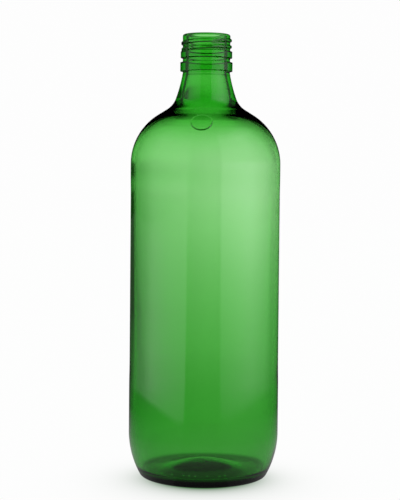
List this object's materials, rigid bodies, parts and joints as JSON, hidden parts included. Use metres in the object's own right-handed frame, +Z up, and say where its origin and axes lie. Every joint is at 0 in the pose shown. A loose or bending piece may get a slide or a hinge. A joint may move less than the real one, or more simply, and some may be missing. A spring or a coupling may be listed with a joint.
{
  "type": "bottle",
  "caption": "Clear green round glass bottle with a roll-on screw finish, flared neck, round shoulder with a plain raised disc, long cylindrical body and pushed-up base.",
  "frame": {"origin": "on the bottle's axis, in the plane of the bearing ring that it stands on", "axes": "+Z up along the bottle's axis to the mouth, -Y the front with the shoulder disc and the mould-code dots, +X to the right seen from the front"},
  "size_m": [0.0874, 0.0874, 0.258],
  "materials": {
    "glass": "clear green bottle glass, fire-polished, tinted in depth"
  },
  "bodies": {
    "root": {"screw_finish": "glass", "screw_thread": "glass", "retention_bead": "glass", "transfer_bead": "glass", "neck": "glass", "shoulder": "glass", "body_wall": "glass", "heel": "glass", "base": "glass", "shoulder_seal": "glass", "heel_dots": "glass"}
  },
  "joints": []
}
